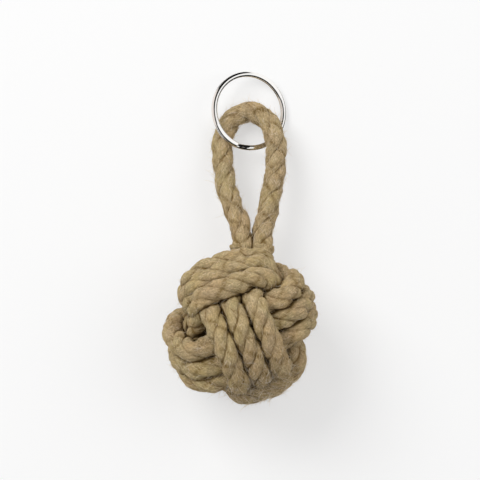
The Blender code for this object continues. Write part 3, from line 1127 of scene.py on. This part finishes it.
def loose_fibres(rope, count, fibres, draw):
    """Four points along each fibre that leaves the rope's surface.

    It follows the rope while it rises outwards with the square of its length and drifts
    sideways. Points one length on are start + l along + l^2 out.
    """
    ring, column, wear_and_shade = fibre_starts(rope, count, draw)
    start = rope.points[ring, column]
    out = rope.out[ring, column]
    along = rope.tangent[ring] * draw.choice((-1.0, 1.0), (count, 1))
    heading = along + np.cross(along, out) * draw.normal(0.0, 0.5, (count, 1))
    heading /= np.linalg.norm(heading, axis=1, keepdims=True)
    length = loose_length * fibres.length * draw.lognormal(0.0, length_spread, (count, 1))
    rise = draw.gamma(1.6, 0.15, (count, 1))
    sway = np.cross(heading, out) * draw.normal(0.0, 0.45, (count, 1)) * (1.0 + wear_and_shade[:, None])
    steps = fibre_steps[:, None]
    line = heading[:, None] * steps + (rise * out + sway)[:, None] * steps ** 2
    lines = start[:, None] - loose_sink * out[:, None] + length[:, None] * line
    return lines, worn_shade(draw.uniform(0.5, 0.9, count), wear_and_shade, draw)


def fibre_tubes(lines, thickness):
    """Points of three-sided tubes round lines, each drawn nearly to a point at its far end."""
    tangent = np.gradient(lines, axis=1)
    tangent /= np.maximum(np.linalg.norm(tangent, axis=2, keepdims=True), 1e-9)
    side = np.cross(tangent, (0.3, 0.0, 1.0))
    side /= np.maximum(np.linalg.norm(side, axis=2, keepdims=True), 1e-6)
    top = np.cross(side, tangent)
    angles = (2.0 * math.pi * np.arange(3) / 3.0)[:, None]
    round_line = np.cos(angles) * side[:, :, None] + np.sin(angles) * top[:, :, None]
    thick = thickness[:, None, None, None] / 2.0 * fibre_taper[:, None, None]
    return (lines[:, :, None] + thick * round_line).reshape(-1, 3)


def fibre_object(name, rope, counts, fibres, seed, material):
    """Lying and loose fibres of one rope, with a shade for each, none below the table."""
    draw = np.random.default_rng(seed)
    lying, lying_shade = lying_fibres(rope, counts[0], fibres, draw)
    loose, loose_shade = loose_fibres(rope, counts[1], fibres, draw)
    lines = np.vstack([lying, loose])
    shade = np.concatenate([lying_shade, loose_shade])
    count, rings = lines.shape[:2]
    points = fibre_tubes(lines, fibres.thickness * draw.uniform(0.6, 1.4, count))
    points[:, 2] = np.maximum(points[:, 2], table_clearance)
    corners = 3 * rings
    first = corners * np.arange(count)[:, None, None]
    sides = (first + turned_over(tube_quads(rings, 3))).reshape(-1, 4)
    ends = np.array(((0, 1, 2), (corners - 1, corners - 2, corners - 3)))
    thing = mesh_object(name, points, [sides, (first + ends).reshape(-1, 3)], material)
    store_values(thing.data, "shade", np.repeat(shade, corners))
    return thing


# Split ring and core

def ring_surface(ring):
    """Wire of elliptical section carried twice round, with one smooth step between its turns."""
    steps, around = 700, 28
    turned_by = np.linspace(0.0, 4.0 * math.pi - ring.step_angle, steps)
    rise = ring.wire_thickness + ring.turn_gap
    level = rise * (ease((turned_by - 2.0 * math.pi + ring.step_angle) / ring.step_angle) - 0.5)
    t = 2.0 * math.pi * np.arange(around) / around
    middle = (ring.diameter - ring.wire_width) / 2.0
    radius = middle + np.cos(t) * ring.wire_width / 2.0
    height = level[:, None] + np.sin(t) * ring.wire_thickness / 2.0
    angle = (ring.split_angle + turned_by)[:, None]
    return np.stack([radius * np.cos(angle), radius * np.sin(angle), height], axis=-1)


def tilt_matrix():
    """Turn by minus the tilt about the leaning diameter: Rodrigues' formula."""
    x, y = math.cos(ring_lean), math.sin(ring_lean)
    cross = np.array(((0.0, 0.0, y), (0.0, 0.0, -x), (-y, x, 0.0)))
    return np.eye(3) - math.sin(ring_tilt) * cross + (1.0 - math.cos(ring_tilt)) * cross @ cross


def closed_faces(rings, columns):
    """Faces of a tube or ball whose columns run anticlockwise as seen along it."""
    return [turned_over(tube_quads(rings, columns)), turned_over(end_fans(rings, columns))]


def ring_object(ring, material):
    points = ring_surface(ring)
    middles = points[[0, -1]].mean(axis=1)
    placed = np.vstack([points.reshape(-1, 3), middles]) @ tilt_matrix().T + ring_centre
    return mesh_object("ring_wire", placed, closed_faces(*points.shape[:2]), material)


def core_object(core, material):
    """Ball of rows of latitude, each a ring, with a point at either pole."""
    radius = core.diameter / 2.0
    around, down = 48, 24
    theta = math.pi * np.arange(1, down)[:, None] / down
    phi = 2.0 * math.pi * np.arange(around) / around
    rows = radius * np.stack([np.sin(theta) * np.cos(phi), np.sin(theta) * np.sin(phi),
                              np.cos(theta) * np.ones_like(phi)], axis=-1)
    poles = ((0.0, 0.0, radius), (0.0, 0.0, -radius))
    points = np.vstack([rows.reshape(-1, 3), poles]) + knot_centre
    return mesh_object("core", points, closed_faces(down - 1, around), material)


# Stage

def area_lamp(name, place, size, power):
    """Square lamp that faces the middle of the table and isn't seen in polished metal."""
    data = bpy.data.lights.new(name, "AREA")
    data.shape = "SQUARE"
    data.size = size
    data.energy = power
    lamp = bpy.data.objects.new(name, data)
    lamp.location = place
    lamp.rotation_euler = lamp.location.to_track_quat("Z", "Y").to_euler()
    lamp.visible_glossy = False
    bpy.context.scene.collection.objects.link(lamp)


def room_in_metal(tree):
    """What polished metal sees of the room, by direction.

    Bright and cream cards stand with dark walls between them, whose edges lean as they
    rise, under a ceiling that is dark on the right and grey ahead on the left.
    """
    direction = add_node(tree, "ShaderNodeTexCoord").outputs["Generated"]
    parts = add_node(tree, "ShaderNodeSeparateXYZ")
    tree.links.new(direction, parts.inputs["Vector"])
    azimuth = value_of(tree, parts.outputs["Y"], "ARCTAN2", parts.outputs["X"])
    turned_by = value_of(tree, azimuth, "DIVIDE", 2.0 * math.pi)
    lean = times(tree, parts.outputs["Z"], wall_lean / 360.0)
    turned_by = plus(tree, plus(tree, turned_by, lean), 1.0)
    stops = [(angle / 360.0, colour) for angle, colour in room_walls]
    walls = ramp(tree, value_of(tree, turned_by, "FLOORED_MODULO", 1.0), stops)
    ahead = value_of(tree, parts.outputs["Y"], "SUBTRACT", parts.outputs["X"])
    ceiling = ramp(tree, ahead, ((0.0, dark_wall), (0.06, grey_ceiling)))
    overhead = grey_ramp(tree, parts.outputs["Z"], 0.945, 0.96)
    return mix_colours(tree, overhead, walls, ceiling)


def studio_world(level):
    """Soft grey light all round, plain white behind the object, and a room for the metal."""
    world = bpy.data.worlds.new("Studio")
    world.use_nodes = True
    tree = world.node_tree
    path = add_node(tree, "ShaderNodeLightPath")
    soft_light = (0.42 * level,) * 3
    light = mix_colours(tree, path.outputs["Is Glossy Ray"], soft_light, room_in_metal(tree))
    colour = mix_colours(tree, path.outputs["Is Camera Ray"], light, (1.0, 1.0, 1.0))
    tree.links.new(colour, tree.nodes["Background"].inputs["Color"])
    return world


def floor_object(size):
    half = size / 2.0
    corners = np.array(((-half, -half, 0.0), (half, -half, 0.0), (half, half, 0.0),
                        (-half, half, 0.0)))
    return mesh_object("floor", corners, [np.array(((0, 1, 2, 3),))], floor_material())


def camera_above(stage):
    """Camera straight above the table, with a lens that takes in the picture's width."""
    middle_height, back, sensor = 15.0 * mm, 1.0 * mm, 36.0
    data = bpy.data.cameras.new("camera")
    data.sensor_width = sensor
    data.lens = sensor * (stage.camera_height - middle_height) / stage.picture_width
    data.clip_start = 0.05
    camera = bpy.data.objects.new("camera", data)
    camera.location = (0.0, -back, stage.camera_height)
    bpy.context.scene.collection.objects.link(camera)
    return camera


# Operators

def outward_from_knot(route):
    return route - knot_centre


def upward(route):
    return np.tile((0.0, 0.0, 1.0), (len(route), 1))


def neighbours_of(name, knot):
    """Middle points, 1 mm apart, of the sets of turns that a rope can touch."""
    turns = {"front_rope": front_turns_route, "side_rope": side_turns_route,
             "top_rope": top_turns_route}
    touched = {"eye_rope": ["top_rope"]}.get(name, [other for other in turns if other != name])
    return np.vstack([on_table(spread_evenly(turns[other](knot), 1.0 * mm)) for other in touched])


class KEYCHAIN_OT_knot(bpy.types.Operator):
    """Lay the rope of the three sets of turns"""
    bl_idname = "keychain.knot"
    bl_label = "Knot"

    def execute(self, context):
        settings = context.scene.keychain
        build = Build(settings.rope.knot_diameter, settings.rope.knot_spread,
                      settings.rope.knot_lay, relief=1.0)
        counts = (settings.fibres.lying_count, settings.fibres.loose_count)
        material = jute_material(settings.rope)
        loose = fibre_material(settings.rope)
        plan = (("front_rope", "front_turns", front_rope_route, 0.4, 11),
                ("side_rope", "side_turns", side_rope_route, 1.3, 23),
                ("top_rope", "top_turns", top_rope_route, 2.2, 37))
        for name, node, route, phase, seed in plan:
            rope = LaidRope(settings.rope, route(settings.knot), outward_from_knot, phase, seed,
                            build)
            thing = rope_object(name, rope, neighbours_of(name, settings.knot), material)
            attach(thing, "knot")
            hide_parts(node)
            fuzz = fibre_object(name + "_fibres", rope, counts, settings.fibres, seed + 100, loose)
            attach(fuzz, "knot")
        return {"FINISHED"}


class KEYCHAIN_OT_eye(bpy.types.Operator):
    """Lay the rope of the eye, in the materials of the knot"""
    bl_idname = "keychain.eye"
    bl_label = "Eye"

    def execute(self, context):
        settings = context.scene.keychain
        build = Build(settings.rope.diameter, settings.rope.eye_spread, settings.rope.eye_lay,
                      settings.rope.eye_relief)
        rope = LaidRope(settings.rope, eye_rope_route(), upward, 0.9, 51, build)
        thing = rope_object("eye_rope", rope, neighbours_of("eye_rope", settings.knot),
                            bpy.data.materials["Jute rope"])
        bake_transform(thing)
        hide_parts("rope_eye")
        counts = (settings.fibres.lying_count // 2, settings.fibres.loose_count // 2)
        fuzz = fibre_object("eye_rope_fibres", rope, counts, settings.fibres, 151,
                            bpy.data.materials["Loose jute fibres"])
        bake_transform(fuzz)
        return {"FINISHED"}


class KEYCHAIN_OT_core(bpy.types.Operator):
    """Put the core ball inside the knot"""
    bl_idname = "keychain.core"
    bl_label = "Core"

    def execute(self, context):
        thing = core_object(context.scene.keychain.core, core_material())
        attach(thing, "knot")
        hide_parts("core_ball")
        return {"FINISHED"}


class KEYCHAIN_OT_ring(bpy.types.Operator):
    """Bend the split ring"""
    bl_idname = "keychain.ring"
    bl_label = "Split ring"

    def execute(self, context):
        ring = context.scene.keychain.ring
        thing = ring_object(ring, nickel_material(ring))
        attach(thing, "ring")
        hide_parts("split_ring")
        return {"FINISHED"}


class KEYCHAIN_OT_stage(bpy.types.Operator):
    """Set up the floor, the soft lamps and the camera"""
    bl_idname = "keychain.stage"
    bl_label = "Stage"

    def execute(self, context):
        stage = context.scene.keychain.stage
        floor = floor_object(stage.floor_size)
        level = stage.light_level
        area_lamp("key_lamp", place=(-0.75, 0.75, 1.15), size=0.9, power=14.5 * level)
        area_lamp("fill_lamp", place=(0.85, 0.30, 1.15), size=1.0, power=5.0 * level)
        context.scene.world = studio_world(level)
        context.scene.view_settings.view_transform = "Standard"
        context.scene.camera = camera_above(stage)
        return {"FINISHED"}


class KEYCHAIN_PT_sidebar(bpy.types.Panel):
    bl_idname = "KEYCHAIN_PT_sidebar"
    bl_label = "Rope keychain"
    bl_space_type = "VIEW_3D"
    bl_region_type = "UI"
    bl_category = "Rope keychain"

    def draw(self, context):
        settings = context.scene.keychain
        for operator, groups in ((KEYCHAIN_OT_knot, (settings.knot,)),
                                 (KEYCHAIN_OT_eye, (settings.rope, settings.fibres)),
                                 (KEYCHAIN_OT_core, (settings.core,)),
                                 (KEYCHAIN_OT_ring, (settings.ring,)),
                                 (KEYCHAIN_OT_stage, (settings.stage,))):
            box = self.layout.box()
            box.operator(operator.bl_idname)
            for group in groups:
                for name in group.bl_rna.properties.keys():
                    if name not in ("rna_type", "name"):
                        box.prop(group, name)


classes = (
    RopeSettings, KnotSettings, CoreSettings, FibreSettings, RingSettings, StageSettings,
    KeychainSettings,
    KEYCHAIN_OT_knot, KEYCHAIN_OT_eye, KEYCHAIN_OT_core, KEYCHAIN_OT_ring, KEYCHAIN_OT_stage,
    KEYCHAIN_PT_sidebar,
)


def register():
    for item in classes:
        bpy.utils.register_class(item)
    bpy.types.Scene.keychain = PointerProperty(type=KeychainSettings)


def unregister():
    del bpy.types.Scene.keychain
    for item in reversed(classes):
        bpy.utils.unregister_class(item)


def main():
    register()
    bpy.ops.keychain.knot()
    bpy.ops.keychain.eye()
    bpy.ops.keychain.core()
    bpy.ops.keychain.ring()
    bpy.ops.keychain.stage()


if __name__ == "__main__":
    main()
